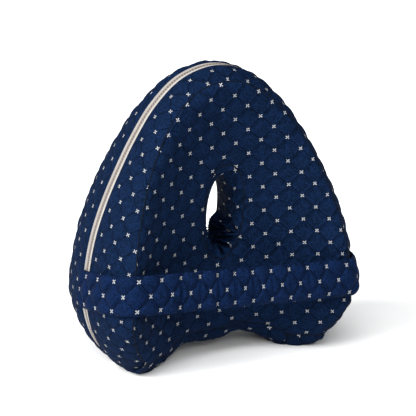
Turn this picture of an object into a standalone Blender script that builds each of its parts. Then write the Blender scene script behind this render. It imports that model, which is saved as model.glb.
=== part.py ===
"""Knee pillow: a quilted, stuffed cushion with a hole through it, an elastic strap and a zip.

Metres, +Z up. X runs across the cushion and Y through its thickness. The front looks along -Y.
The cushion stands on its two lobes, pressed flat, on Z = 0.
"""

import bmesh
import bpy
import numpy as np
from mathutils import Vector
from mathutils.geometry import delaunay_2d_cdt

# The right half of the outline, followed along the zip in the middle of the side panel.
OUTLINE = np.array((
    # across, height, how far in from the zip the front and back seams lie
    (0.0000, 0.2500, 0.0097),
    (0.0289, 0.2424, 0.0092),
    (0.0539, 0.2210, 0.0080),
    (0.0719, 0.1950, 0.0079),
    (0.0859, 0.1694, 0.0093),
    (0.0982, 0.1433, 0.0121),
    (0.1082, 0.1156, 0.0152),
    (0.1140, 0.0887, 0.0166),
    (0.1168, 0.0559, 0.0164),
    (0.1041, 0.0183, 0.0134),
    (0.0729, -0.0064, 0.0120),    # below the floor: the lobe is pressed flat there
    (0.0306, 0.0112, 0.0132),
    (0.0000, 0.0092, 0.0142),
))
HEIGHT = OUTLINE[0, 1]
CUSHION_BACK = 0.0023             # the strap stands out in front, so the cushion sits this far back

# Front and back faces, each a hollow for the leg, rolled over at the seam
HOLLOW_RADIUS = 0.1295
HALF_THICKNESS_MIDDLE = 0.0236
HALF_THICKNESS_TOP = 0.0318
HALF_THICKNESS_FOOT = 0.0200
THICKNESS_LEVEL = 0.45            # the height, as a part of the whole, where the middle is thinnest
SEAM_ROLL = 0.0047
SEAM_ROLL_WIDTH = 0.010
BULGE_POWER = 3.0                 # the side panel is flat at the zip and turns in at its seams

# A sewn tuck off centre, between the lobes
TUCK_X = 0.018
TUCK_RISE = 0.0060
TUCK_WIDTH = 0.012
TUCK_REACH = 0.055

# Hole through the middle
HOLE_Z = 0.1285
HOLE_HALF_WIDTH = 0.0180
HOLE_HALF_HEIGHT = 0.0405
HOLE_ROUNDNESS = 2.3
HOLE_LEAN = 0.07
HOLE_PINCH = 0.14
HOLE_BUNCH = 0.0070               # the lining is bunched up at the bottom of the hole
RIM_DROP = 0.0040
RIM_WIDTH = 0.0080
RIM_POINTS = 30
LINING_STEPS = np.linspace(-1.0, 1.0, 7)

# Quilting: diamonds with a puff in each
FACE_DIAMOND = np.array((0.0218, 0.0206))
FACE_TURN = np.radians(3.7)
FACE_START = np.array((0.0067, 0.2285))
SIDE_DIAMONDS_ROUND = 38
SIDE_DIAMOND_ACROSS = 0.0208
SIDE_START_ACROSS = 0.0055
SIDE_START_FRONT = 0.0029         # distance round from the top to the first corner
SIDE_START_BACK = -0.0023
PUFF_HEIGHT = 0.0024
CLEAR_OF_EDGE = 0.0038            # no quilting point comes nearer a seam than this
CLEAR_OF_CHANNEL = 0.7            # the same beside the zip, as a part of it
CLEAR_OF_HOLE = 1.7               # the same round the hole
COLLAR = 0.0035                   # an unquilted ring of points this far round the hole
WIDEST_GIRTH = 0.08               # wider than half the side panel anywhere
RING_POINTS = 96
FINE = 8

# Zip, in a channel in the middle of the side panel
CHANNEL_HALF_FLOOR = 0.0062
CHANNEL_HALF_TOP = 0.0090
CHANNEL_DEPTH = 0.0026
GAP = 0.0003
TAPE_OUTER = 0.0058
TAPE_INNER = 0.0021
TAPE_THICK = 0.0012
COIL_HALF_WIDTH = 0.0018
COIL_TOP_HALF_WIDTH = 0.0010
COIL_SHOULDER = 0.0011
COIL_SUNK = 0.0004

# Strap: a padded elastic band, drawn tight across the front
STRAP_LINE = np.array((
    # side of the cushion, from left to right; height of the strap's middle
    (-2.0, 0.0715),               # sewn down just behind the zip
    (-1.0, 0.0825),               # round the left front edge
    (1.0, 0.0700),                # round the right front edge
    (2.0, 0.0620),
))
STRAP_END = 0.10                  # how far behind the zip it ends, as a part of the side panel
STRAP_CLEAR = 0.0007
STRAP_THICK = 0.0046
STRAP_HEM_THICK = 0.0024
STRAP_PUFF = 0.0011
STRAP_SIDE_STEPS = 14
STRAP_FRONT_STEPS = 48
STRAP_ROWS = np.array((
    # height over the strap's middle, the same in quarter diamonds
    (-0.0158, -2.6),
    (-0.0119, -2.0),
    (-0.0060, -1.0),
    (0.0, 0.0),
    (0.0060, 1.0),
    (0.0119, 2.0),
    (0.0158, 2.6),
))
GATHER_FROM, GATHER_TO = -0.066, 0.060
GATHER_DEPTH = 0.0015
PRESS_HALF_WIDTH = 0.0195         # the strap presses the quilting flat this far from its middle
PRESS_FADE = 0.0060
PRESS_FROM_X = 0.080
PRESS_EDGE_Y = 0.065
CREASE_LEAST = 0.6                # creases come and go along the strap: least depth, change, rhythm
CREASE_CHANGE = 0.4
CREASE_RHYTHM = 1.9
GATHER_FADE = 0.015
RIGHT_SIDE = (0.12, 0.42)         # part of the ring, from its top, that the strap's right side uses
CURVE_STEPS = 24                  # steps between two rows of the outline

COLOURS = {
    # name: red, green, blue, roughness
    "navy_quilted_jersey": (0.020, 0.045, 0.150, 0.92),
    "navy_elastic_band": (0.014, 0.032, 0.105, 0.92),
    "pale_zip_tape": (0.66, 0.63, 0.60, 0.85),
    "taupe_zip_teeth": (0.36, 0.32, 0.30, 0.55),
}


def smooth_loop(rows, steps):
    """A closed smooth curve through rows of numbers, whose first two columns are a place."""
    before, after = np.roll(rows, 1, axis=0), np.roll(rows, -1, axis=0)
    gap = np.linalg.norm((after - rows)[:, :2], axis=1)[:, None]
    gap_before = np.roll(gap, 1, axis=0)
    slope = ((after - rows) / gap * gap_before + (rows - before) / gap_before * gap) / (gap + gap_before)
    t = (np.arange(steps) / steps)[None, :, None]
    start, end = rows[:, None], after[:, None]
    pull, pull_end = (slope * gap)[:, None], (np.roll(slope, -1, axis=0) * gap)[:, None]
    curve = (
        start * (1 + 2 * t) * (1 - t) ** 2
        + pull * t * (1 - t) ** 2
        + end * t ** 2 * (3 - 2 * t)
        + pull_end * t ** 2 * (t - 1)
    )
    return curve.reshape(-1, rows.shape[1])


def even_steps(loop, count):
    """The same closed curve with its points evenly spaced, and the curve's length."""
    closed = np.vstack((loop, loop[:1]))
    run = np.concatenate(((0,), np.cumsum(np.linalg.norm(np.diff(closed[:, :2], axis=0), axis=1))))
    places = np.linspace(0, run[-1], count, endpoint=False)
    columns = [np.interp(places, run, column) for column in closed.T]
    return np.stack(columns, axis=1), run[-1]


def hollow(x, z):
    """Half the cushion's thickness: a round hollow for the leg, thicker at the top."""
    level = z / HEIGHT
    above = np.clip((level - THICKNESS_LEVEL) / (1 - THICKNESS_LEVEL), 0, None) ** 2
    below = np.clip(1 - level / THICKNESS_LEVEL, 0, None) ** 2
    middle = (
        HALF_THICKNESS_MIDDLE
        + (HALF_THICKNESS_TOP - HALF_THICKNESS_MIDDLE) * above
        + (HALF_THICKNESS_FOOT - HALF_THICKNESS_MIDDLE) * below
    )
    return middle + HOLLOW_RADIUS - np.sqrt(HOLLOW_RADIUS ** 2 - np.clip(x, -0.125, 0.125) ** 2)


def side_ring():
    """Points round the cushion: zip place, inward direction, seam inset, half thickness, press."""
    left = OUTLINE[-2:0:-1] * (-1, 1, 1)
    curve = smooth_loop(np.vstack((OUTLINE, left)), CURVE_STEPS)
    loop, length = even_steps(curve, RING_POINTS * FINE)
    place, inset = loop[:, :2].copy(), loop[:, 2]
    press = np.maximum(-place[:, 1], 0)
    place[:, 1] += press
    along = np.roll(place, -2, axis=0) - np.roll(place, 2, axis=0)
    along /= np.linalg.norm(along, axis=1)[:, None]
    inward = np.stack((along[:, 1], -along[:, 0]), axis=1)
    seam = place + inward * inset[:, None]
    half = hollow(seam[:, 0], seam[:, 1]) - SEAM_ROLL
    return np.column_stack((place, inward, inset, half, press)), seam, length


RING, SEAM_FINE, RING_LENGTH = side_ring()
RING_RUN = np.arange(RING_POINTS) * RING_LENGTH / RING_POINTS
SEAM = SEAM_FINE[::FINE]


def ring_at(run):
    """The ring's columns at any distance round the cushion from its top."""
    steps = run / RING_LENGTH * len(RING)
    first = np.floor(steps).astype(int)
    part = (steps - first)[..., None]
    return RING[first % len(RING)] * (1 - part) + RING[(first + 1) % len(RING)] * part


def tuck(points):
    """The same points with the sewn tuck drawn up between the lobes."""
    lift = TUCK_RISE * np.exp(-((points[:, 0] - TUCK_X) / TUCK_WIDTH) ** 2)
    lift *= np.clip(1 - points[:, 2] / TUCK_REACH, 0, 1) ** 2
    return points + np.outer(lift, (0, 0, 1))


def out_of_channel(across):
    """From 0 on the floor of the zip's channel to 1 at its edge and beyond."""
    out = (np.abs(across) - CHANNEL_HALF_FLOOR) / (CHANNEL_HALF_TOP - CHANNEL_HALF_FLOOR)
    return np.clip(out, 0, 1)


def side_girth(run):
    """Width of half the side panel, from the zip to a seam."""
    ring = ring_at(run)
    return np.hypot(ring[:, 4], ring[:, 5])


def side_surface(run, across):
    """The side panel: distance round from the top, and distance from the zip towards the back."""
    ring = ring_at(run)
    girth, half = side_girth(run), ring[:, 5]
    turn = across / half - (girth / half - 1) * (across / girth) ** 3
    out = out_of_channel(across)
    depth = ring[:, 4] * np.abs(turn) ** BULGE_POWER + CHANNEL_DEPTH * (1 - out)
    place = ring[:, :2] + ring[:, 2:4] * depth[:, None]
    sunk = ring[:, 6] * out * (1 - turn ** 4)
    return np.column_stack((place[:, 0], turn * half, place[:, 1] - sunk))


def distance_to(loop, x, z):
    """Distance from each point to the nearest point of a finely drawn loop."""
    apart = np.stack((x, z), axis=1)[:, None] - loop[None]
    return np.sqrt((apart ** 2).sum(axis=2).min(axis=1))


def hole_rim(margin=0.0):
    """The hole's leaning oval, finely drawn from its top, or one that is wider by a margin."""
    angle = np.radians(np.arange(360))
    across = np.sign(np.sin(angle)) * np.abs(np.sin(angle)) ** (2 / HOLE_ROUNDNESS)
    up = np.sign(np.cos(angle)) * np.abs(np.cos(angle)) ** (2 / HOLE_ROUNDNESS)
    z = up * (HOLE_HALF_HEIGHT + margin)
    x = across * (HOLE_HALF_WIDTH + margin) + HOLE_LEAN * z
    return np.stack((x, z + HOLE_Z), axis=1)


def inside_loop(loop, points):
    """Whether each point lies inside a closed loop."""
    ahead = np.roll(loop, -1, axis=0)
    x, z = points[:, :1], points[:, 1:2]
    spans = (loop[:, 1] > z) != (ahead[:, 1] > z)
    rise = np.where(ahead[:, 1] == loop[:, 1], 1.0, ahead[:, 1] - loop[:, 1])
    crossing = loop[:, 0] + (z - loop[:, 1]) / rise * (ahead[:, 0] - loop[:, 0])
    return (spans & (x < crossing)).sum(axis=1) % 2 == 1


RIM_FINE = hole_rim()
RIM = even_steps(RIM_FINE, RIM_POINTS)[0]


def face_surface(x, z):
    """Half thickness over a face panel: the hollow, rolled down at its seam and at the hole."""
    from_seam = np.clip(1 - distance_to(SEAM_FINE, x, z) / SEAM_ROLL_WIDTH, 0, 1)
    from_rim = np.clip(1 - distance_to(RIM_FINE, x, z) / RIM_WIDTH, 0, 1)
    half = hollow(x, z) - SEAM_ROLL * from_seam ** 2 - RIM_DROP * from_rim ** 2
    return np.column_stack((x, half, z))


def puff(first, second):
    """Height of the quilting: nothing along whole numbers, one at the middle of each diamond."""
    return np.sqrt(np.abs(np.sin(np.pi * first) * np.sin(np.pi * second)))


def pressed(points):
    """How much of the front's quilting stands up near the strap, from none under it to all of it."""
    forward = np.clip(np.abs(points[:, 1]) / PRESS_EDGE_Y, 0, 1)
    left = np.interp(forward, (0, 1), STRAP_LINE[:2, 1])
    right = np.interp(forward, (0, 1), STRAP_LINE[:1:-1, 1])
    middle = np.where(points[:, 0] < 0, left, right)
    free = (np.abs(points[:, 2] - middle) - PRESS_HALF_WIDTH) / PRESS_FADE
    return np.where(np.abs(points[:, 0]) > PRESS_FROM_X, np.clip(free, 0, 1), 1)


def raised(surface, first, second, height):
    """Points of a surface, moved out of it by their height along its own normal."""
    step = 0.0005
    points = surface(first, second)
    along = surface(first + step, second) - surface(first - step, second)
    across = surface(first, second + step) - surface(first, second - step)
    normal = np.cross(along, across)
    normal /= np.linalg.norm(normal, axis=1)[:, None]
    return points + normal * height[:, None]


def lattice(low, high, size, start, turn):
    """Corners, edges and middles of the diamonds over a rectangle, and the puff at each."""
    reach = int(np.ceil(2 * np.linalg.norm(high - low) / size.min()))
    first, second = np.meshgrid(*(np.arange(-reach, reach + 1) / 2,) * 2)
    first, second = first.ravel(), second.ravel()
    right, up = (first + second) * size[0] / 2, (first - second) * size[1] / 2
    x = start[0] + right * np.cos(turn) - up * np.sin(turn)
    y = start[1] + right * np.sin(turn) + up * np.cos(turn)
    points = np.column_stack((x, y, puff(first, second)))
    inside = (points[:, :2] > low).all(axis=1) & (points[:, :2] < high).all(axis=1)
    return points[inside]


def cut_panel(outer, holes, inner):
    """Triangles over a flat panel with every inner point as a corner, and each corner's puff."""
    loops = [outer, *holes]
    edge_count = sum(len(loop) for loop in loops)
    starts = np.cumsum([0] + [len(loop) for loop in loops])
    faces = [list(range(start, start + len(loop))) for start, loop in zip(starts, loops)]
    flat = [Vector(point) for point in np.vstack((*loops, inner[:, :2]))]
    found = delaunay_2d_cdt(flat, [], faces, 1, 1e-7)
    points, triangles = np.array([tuple(point) for point in found[0]]), np.array(found[2])
    for hole in holes:
        triangles = triangles[~inside_loop(hole, points[triangles].mean(axis=1))]
    heights = np.zeros(len(points))
    for index, origins in enumerate(found[3]):
        for origin in origins:
            if origin >= edge_count:
                heights[index] = inner[origin - edge_count, 2] * PUFF_HEIGHT
    return points, triangles.tolist(), heights


def add_faces(cushion, points, faces):
    """Adds triangles to the cushion's mesh."""
    corners = [cushion.verts.new(point) for point in points]
    for face in faces:
        cushion.faces.new([corners[index] for index in face])


def add_ribbons(cushion, rings):
    """Joins closed rings of points, each to the next, with a strip of faces."""
    rows = [[cushion.verts.new(point) for point in ring] for ring in rings]
    count = len(rows[0])
    for row, following in zip(rows, rows[1:]):
        for index in range(count):
            after = (index + 1) % count
            cushion.faces.new((row[index], row[after], following[after], following[index]))


def add_side_half(cushion, side):
    """One half of the side panel, from the zip's channel to a seam, quilted."""
    runs = np.append(RING_RUN, RING_LENGTH)
    girth = side_girth(runs)
    joint = np.linspace(CHANNEL_HALF_TOP, girth[0], 4)[1:-1]
    edge = np.column_stack((runs, girth))
    ends = [np.column_stack((np.full(2, run), joint)) for run in (RING_LENGTH, 0.0)]
    inner_edge = np.column_stack((runs, np.full(len(runs), CHANNEL_HALF_TOP)))
    outer = np.vstack((inner_edge, ends[0], edge[::-1], ends[1][::-1]))
    size = np.array((RING_LENGTH / SIDE_DIAMONDS_ROUND, SIDE_DIAMOND_ACROSS))
    start = np.array((SIDE_START_FRONT if side < 0 else SIDE_START_BACK, SIDE_START_ACROSS))
    low = np.array((CLEAR_OF_EDGE, CHANNEL_HALF_TOP))
    high = np.array((RING_LENGTH - CLEAR_OF_EDGE, WIDEST_GIRTH))
    points = lattice(low, high, size, start, 0.0)
    free = points[:, 1] < side_girth(points[:, 0]) - CLEAR_OF_EDGE
    free &= points[:, 1] > CHANNEL_HALF_TOP + CLEAR_OF_EDGE * CLEAR_OF_CHANNEL
    flat, faces, heights = cut_panel(outer, [], points[free])
    if side < 0:
        heights *= pressed(side_surface(flat[:, 0], -flat[:, 1]))

    def half_panel(run, across):
        """This half of the side panel, with its width counted from the zip."""
        return side_surface(run, side * across)

    # the normal of the front half points inward, so the sign turns with the side
    add_faces(cushion, raised(half_panel, flat[:, 0], flat[:, 1], side * heights), faces)


def add_face_panel(cushion, side):
    """The front or the back panel, quilted, with the hole cut in it."""
    low, high = SEAM_FINE.min(axis=0), SEAM_FINE.max(axis=0)
    # the cloth is wider than the panel, because it lies along the hollow
    cloth = HOLLOW_RADIUS * np.arcsin(np.array((low[0], high[0])) / HOLLOW_RADIUS)
    low, high = np.array((cloth[0], low[1])), np.array((cloth[1], high[1]))
    points = lattice(low, high, FACE_DIAMOND, FACE_START, FACE_TURN)
    points[:, 0] = HOLLOW_RADIUS * np.sin(points[:, 0] / HOLLOW_RADIUS)
    keep = inside_loop(SEAM_FINE, points[:, :2]) & ~inside_loop(RIM_FINE, points[:, :2])
    keep &= distance_to(SEAM_FINE, points[:, 0], points[:, 1]) > CLEAR_OF_EDGE
    keep &= distance_to(RIM_FINE, points[:, 0], points[:, 1]) > CLEAR_OF_EDGE * CLEAR_OF_HOLE
    collar = even_steps(hole_rim(COLLAR), RIM_POINTS)[0]
    collar = np.column_stack((collar, np.zeros(RIM_POINTS)))
    flat, faces, heights = cut_panel(SEAM, [RIM], np.vstack((points[keep], collar)))
    if side < 0:
        heights *= pressed(face_surface(flat[:, 0], flat[:, 1]))
    solid = raised(face_surface, flat[:, 0], flat[:, 1], -heights)
    add_faces(cushion, solid * (1, side, 1), faces)


def add_zip_channel(cushion):
    """The shallow channel round the side panel that the zip is sewn into."""
    rows = (-CHANNEL_HALF_TOP, -CHANNEL_HALF_FLOOR, CHANNEL_HALF_FLOOR, CHANNEL_HALF_TOP)
    add_ribbons(cushion, [side_surface(RING_RUN, np.full(RING_POINTS, row)) for row in rows])


def add_hole_lining(cushion):
    """The lining of the hole, drawn in half way through and bunched up at the bottom."""
    rim_half = face_surface(RIM[:, 0], RIM[:, 1])[:, 1]
    rings = []
    for step in LINING_STEPS:
        drawn = 1 - step ** 2
        ring = (RIM - (0, HOLE_Z)) * (1 - HOLE_PINCH * drawn) + (0, HOLE_Z)
        low = np.clip((HOLE_Z - ring[:, 1]) / HOLE_HALF_HEIGHT, 0, 1) ** 3
        ring = ring + np.outer(low, (0, HOLE_BUNCH * drawn))
        rings.append(np.column_stack((ring[:, 0], step * rim_half, ring[:, 1])))
    add_ribbons(cushion, rings)


def place_object(name, mesh, colour, collection):
    """Puts a bmesh in the scene as a closed, triangulated object with its own material."""
    bmesh.ops.remove_doubles(mesh, verts=mesh.verts, dist=1e-5)
    bmesh.ops.triangulate(mesh, faces=mesh.faces)
    bmesh.ops.recalc_face_normals(mesh, faces=mesh.faces)
    for vert in mesh.verts:
        vert.co.y += CUSHION_BACK
    data = bpy.data.meshes.new(name)
    mesh.to_mesh(data)
    mesh.free()
    data.shade_smooth()
    data.set_sharp_from_angle(angle=np.radians(50))
    red, green, blue, roughness = COLOURS[colour]
    material = bpy.data.materials.new(colour)
    material.use_nodes = True
    shader = material.node_tree.nodes["Principled BSDF"]
    shader.inputs["Base Color"].default_value = (red, green, blue, 1)
    shader.inputs["Roughness"].default_value = roughness
    shader.inputs["Metallic"].default_value = 0
    material.diffuse_color = (red, green, blue, 1)
    data.materials.append(material)
    piece = bpy.data.objects.new(name, data)
    collection.objects.link(piece)
    return piece


def make_cushion(collection):
    """The stuffed body: two faces, two side halves, the zip's channel and the hole's lining."""
    cushion = bmesh.new()
    for side in (-1, 1):
        add_face_panel(cushion, side)
        add_side_half(cushion, side)
    add_zip_channel(cushion)
    add_hole_lining(cushion)
    places = tuck(np.array([vert.co for vert in cushion.verts]))
    places[:, 2] = np.maximum(places[:, 2], 0)
    for vert, place in zip(cushion.verts, places):
        vert.co = place
    place_object("cushion", cushion, "navy_quilted_jersey", collection)


def make_zip_piece(name, section, colour, collection):
    """A closed band round the cushion with the given section: across the side panel, and depth."""
    ring = ring_at(RING_RUN)
    rings = []
    for across, depth in (*section, section[0]):
        place = ring[:, :2] + ring[:, 2:4] * depth
        rings.append(tuck(np.column_stack((place[:, 0], np.full(RING_POINTS, across), place[:, 1]))))
    band = bmesh.new()
    add_ribbons(band, rings)
    place_object(name, band, colour, collection)


def make_zip(collection):
    """Two woven tapes with the closed coil between them, all just below the side panel's crest."""
    seat = CHANNEL_DEPTH - GAP
    top = seat - TAPE_THICK
    for name, side in (("zip_tape_front", -1), ("zip_tape_back", 1)):
        inner, outer = side * TAPE_INNER, side * TAPE_OUTER
        section = ((inner, seat), (outer, seat), (outer, top), (inner, top))
        make_zip_piece(name, section, "pale_zip_tape", collection)
    section = (
        (-COIL_HALF_WIDTH, seat),
        (COIL_HALF_WIDTH, seat),
        (COIL_HALF_WIDTH, COIL_SHOULDER),
        (COIL_TOP_HALF_WIDTH, COIL_SUNK),
        (-COIL_TOP_HALF_WIDTH, COIL_SUNK),
        (-COIL_HALF_WIDTH, COIL_SHOULDER),
    )
    make_zip_piece("zip_coil", section, "taupe_zip_teeth", collection)


def side_at_height(turn, z):
    """Place on the right side panel at a height: turn is 0 at the zip and -1 at the front seam."""
    first, last = (int(len(RING) * part) for part in RIGHT_SIDE)
    right = RING[first + 1:last + 1]
    depth = right[:, 4] * abs(turn) ** BULGE_POWER
    x, height = (right[:, :2] + right[:, 2:4] * depth[:, None]).T
    upward = np.argsort(height)
    return np.interp(z, height[upward], x[upward]), turn * np.interp(z, height[upward], right[upward, 5])


def strap_path(row_height):
    """The strap's inner line at one height over its middle: round both sides, tight across the front."""
    turns = np.linspace(STRAP_END, -1, STRAP_SIDE_STEPS + 1)
    left = []
    for turn in turns:
        z = np.interp(-2 - min(turn, 0), STRAP_LINE[:, 0], STRAP_LINE[:, 1]) + row_height
        x, y = side_at_height(turn, z)
        left.append((-x, y, z))
    right = []
    for turn in turns[::-1]:
        z = np.interp(2 + min(turn, 0), STRAP_LINE[:, 0], STRAP_LINE[:, 1]) + row_height
        x, y = side_at_height(turn, z)
        right.append((x, y, z))
    across = np.linspace(left[-1], right[0], STRAP_FRONT_STEPS + 1)[1:-1]
    return np.vstack((left, across, right))


def make_strap(collection):
    """A closed band with a flat inner side and a quilted, gathered outer side."""
    inner, outer = [], []
    for height, quarter in STRAP_ROWS:
        path = strap_path(height)
        along = np.vstack((path[1:2] - path[:1], path[2:] - path[:-2], path[-1:] - path[-2:-1]))
        out = np.column_stack((along[:, 1], -along[:, 0], np.zeros(len(path))))
        out /= np.linalg.norm(out, axis=1)[:, None]
        steps = np.arange(len(path))
        quilt = puff((steps + quarter) / 4, (steps - quarter) / 4)
        body = np.sqrt(np.clip(1 - (height / STRAP_ROWS[-1, 0]) ** 4, 0, 1))
        padding = STRAP_THICK - STRAP_PUFF - STRAP_HEM_THICK + STRAP_PUFF * quilt
        gathered = np.clip(np.minimum(path[:, 0] - GATHER_FROM, GATHER_TO - path[:, 0]) / GATHER_FADE, 0, 1)
        crease = (steps % 2 == 0) * (CREASE_LEAST + CREASE_CHANGE * np.sin(steps * CREASE_RHYTHM))
        # a crease is shallower where the hem is sewn
        thick = STRAP_HEM_THICK + padding * body - GATHER_DEPTH * gathered * crease * (1 + body) / 2
        inner.append(path + out * STRAP_CLEAR)
        outer.append(path + out * (STRAP_CLEAR + thick)[:, None])
    section = inner + outer[::-1]
    rings = np.stack(section, axis=0).transpose(1, 0, 2)
    band = bmesh.new()
    add_ribbons(band, rings)
    bmesh.ops.holes_fill(band, edges=[edge for edge in band.edges if edge.is_boundary])
    place_object("strap", band, "navy_elastic_band", collection)


def main():
    """Clears the scene and builds the pillow."""
    for old in list(bpy.data.objects):
        bpy.data.objects.remove(old)
    collection = bpy.data.collections.new("knee_pillow")
    bpy.context.scene.collection.children.link(collection)
    make_cushion(collection)
    make_zip(collection)
    make_strap(collection)


main()
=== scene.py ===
# %% [markdown]
# # A quilted knee pillow
#
# The real object is a block of soft foam in a zipped cover. The cover is a knitted jersey, quilted in
# diamonds, with a small pale cross woven at every corner of the diamonds. Two hollow faces hold the legs, a
# hole goes through the middle, and a padded elastic strap crosses the front. The lesson builds it from a few
# measured outlines. Every surface is a grid of points worked out with numpy, so the sizes stay exact.

import bmesh
import bpy
import numpy as np
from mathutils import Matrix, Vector


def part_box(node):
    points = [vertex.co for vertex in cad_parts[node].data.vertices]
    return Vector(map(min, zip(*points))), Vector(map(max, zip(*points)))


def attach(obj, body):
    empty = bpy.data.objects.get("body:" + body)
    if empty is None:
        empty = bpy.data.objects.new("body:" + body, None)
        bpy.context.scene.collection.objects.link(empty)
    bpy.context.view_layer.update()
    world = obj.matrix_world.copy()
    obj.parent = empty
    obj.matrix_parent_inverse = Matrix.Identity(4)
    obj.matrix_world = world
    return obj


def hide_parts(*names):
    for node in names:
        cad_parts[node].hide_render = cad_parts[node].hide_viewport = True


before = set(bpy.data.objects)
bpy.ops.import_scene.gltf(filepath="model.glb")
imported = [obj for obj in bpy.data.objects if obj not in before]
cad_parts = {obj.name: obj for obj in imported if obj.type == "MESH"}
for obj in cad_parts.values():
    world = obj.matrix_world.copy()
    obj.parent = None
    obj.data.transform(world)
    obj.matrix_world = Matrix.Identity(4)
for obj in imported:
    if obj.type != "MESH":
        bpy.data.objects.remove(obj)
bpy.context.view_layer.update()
scene = bpy.context.scene
cushion_low, cushion_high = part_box("cushion")
MIDDLE_Y = (cushion_low[1] + cushion_high[1]) / 2      # the zip lies in this plane
HEIGHT = 0.250                    # such a pillow is about 25 cm high


# %% [markdown]
# ## Camera and light
#
# The photograph was taken from the left and a little above, with a long lens. Fitting the outline gave the
# angles below. Lamps near the object would light the floor unevenly, but suns with a wide angle keep it
# white everywhere. The stronger one comes from the left, so the side panel is bright and the near flank of
# the hollow stays dark. The other stands for a large soft box above the viewer.

# %% Camera
CAMERA_AZIMUTH, CAMERA_ELEVATION = np.radians(-25.3), np.radians(17.1)
CAMERA_DISTANCE = 1.562
CAMERA_TURNS_ABOUT = np.array((0.0, MIDDLE_Y, 0.125))
CAMERA_AIM = np.array((-0.0035, MIDDLE_Y, 0.1261))
LENS, SENSOR = 160.8, 36.0


def aim(thing, place, target):
    """Puts a camera or a light at a place, looking at a target with its top up."""
    thing.location = place
    thing.rotation_euler = Vector(np.subtract(target, place)).to_track_quat("-Z", "Y").to_euler()
    scene.collection.objects.link(thing)


towards_camera = np.array((
    np.sin(CAMERA_AZIMUTH) * np.cos(CAMERA_ELEVATION),
    -np.cos(CAMERA_AZIMUTH) * np.cos(CAMERA_ELEVATION),
    np.sin(CAMERA_ELEVATION),
))
camera_data = bpy.data.cameras.new("camera")
camera_data.lens, camera_data.sensor_width = LENS, SENSOR
camera = bpy.data.objects.new("camera", camera_data)
aim(camera, CAMERA_TURNS_ABOUT + towards_camera * CAMERA_DISTANCE, CAMERA_AIM)
scene.camera = camera
print("camera at", [round(value, 4) for value in camera.location])


# %% [markdown]
# ## Colours and nodes
#
# A picked colour is an sRGB hex value, but a shader works with linear light, so one function turns it.
# Nodes could be placed by hand in the editor. One small function that adds a node with its settings and
# links keeps a material readable as a list of steps.

# %% Colours and nodes
def colour(hex_text):
    """An sRGB hex colour as linear red, green, blue and alpha."""
    parts = np.array([int(hex_text[start:start + 2], 16) / 255 for start in (1, 3, 5)])
    linear = np.where(parts <= 0.04045, parts / 12.92, ((parts + 0.055) / 1.055) ** 2.4)
    return (*linear.tolist(), 1.0)


def add(tree, kind, inputs=(), **settings):
    """Adds one node. Inputs are numbers, colours, sockets or nodes, in order or by name."""
    made = tree.nodes.new("ShaderNode" + kind)
    for name, value in settings.items():
        setattr(made, name, value)
    for key, value in inputs.items() if isinstance(inputs, dict) else enumerate(inputs):
        if isinstance(value, bpy.types.Node):
            value = value.outputs[0]
        if isinstance(value, bpy.types.NodeSocket):
            tree.links.new(value, made.inputs[key])
        elif value is not None:
            made.inputs[key].default_value = value
    return made


def new_material(name, looks):
    """A material with its shader's constant sockets set, as (material, node tree, shader)."""
    material = bpy.data.materials.new(name)
    material.use_nodes = True
    shader = material.node_tree.nodes["Principled BSDF"]
    for socket, value in looks.items():
        shader.inputs[socket].default_value = value
    return material, material.node_tree, shader


# %% [markdown]
# ## Floor and lamps
#
# A photographer's paper sheet is matt, so all that the eye gets from it is the soft shadow. A flat square
# with a faint mottle is enough.

# %% Floor and light
FLOOR_SIZE = 14.0
SUNS = (
    # name, degrees round from the front, degrees up, strength, softness in degrees
    ("left_window", -84.0, 33.0, 5.0, 44.0),
    ("soft_box", -16.0, 52.0, 4.0, 60.0),
)
SKY = 0.10
PAPER_MOTTLE = 40.0               # one spot in about 25 mm

# uncoated paper scatters the light evenly: the eye gets a white without any gloss
floor_sheet, tree, shader = new_material(
    "matt_white_paper", {"Roughness": 0.95, "Specular IOR Level": 0.1}
)
grain = add(tree, "TexNoise", {"Scale": PAPER_MOTTLE, "Vector": add(tree, "TexCoord").outputs["Object"]})
paper = add(tree, "Mix", {0: grain, 6: colour("#eeeff0"), 7: colour("#f4f4f3")}, data_type="RGBA")
tree.links.new(paper.outputs[2], shader.inputs["Base Color"])

floor_mesh = bpy.data.meshes.new("floor")
corners = [(x * FLOOR_SIZE / 2, y * FLOOR_SIZE / 2, 0) for x, y in ((-1, -1), (1, -1), (1, 1), (-1, 1))]
floor_mesh.from_pydata(corners, [], [(0, 1, 2, 3)])
floor_mesh.materials.append(floor_sheet)
floor = bpy.data.objects.new("floor", floor_mesh)
scene.collection.objects.link(floor)

for name, round_by, up_by, strength, softness in SUNS:
    sun_data = bpy.data.lights.new(name, "SUN")
    sun_data.energy, sun_data.angle = strength, np.radians(softness)
    turn, rise = np.radians((round_by, up_by))
    place = (np.sin(turn) * np.cos(rise), -np.cos(turn) * np.cos(rise), np.sin(rise))
    aim(bpy.data.objects.new(name, sun_data), place, (0, 0, 0))

world = bpy.data.worlds.new("white_room")
world.use_nodes = True
world.node_tree.nodes["Background"].inputs["Color"].default_value = colour("#f7faff")
world.node_tree.nodes["Background"].inputs["Strength"].default_value = SKY
scene.world = world
scene.view_settings.view_transform = "Standard"
print("floor", FLOOR_SIZE, "m wide, lit by", len(SUNS), "suns")

# %% [markdown]
# ## The outline
#
# From the front the cushion is a rounded triangle on two lobes. The zip runs round the middle of its side
# panel. The table gives the right half of that line, and how far in from it the front and back seams lie.
# A smooth curve goes through the rows. The lobes are drawn a little below the floor and then pressed flat,
# because the soft foam flattens where it stands.

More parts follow.
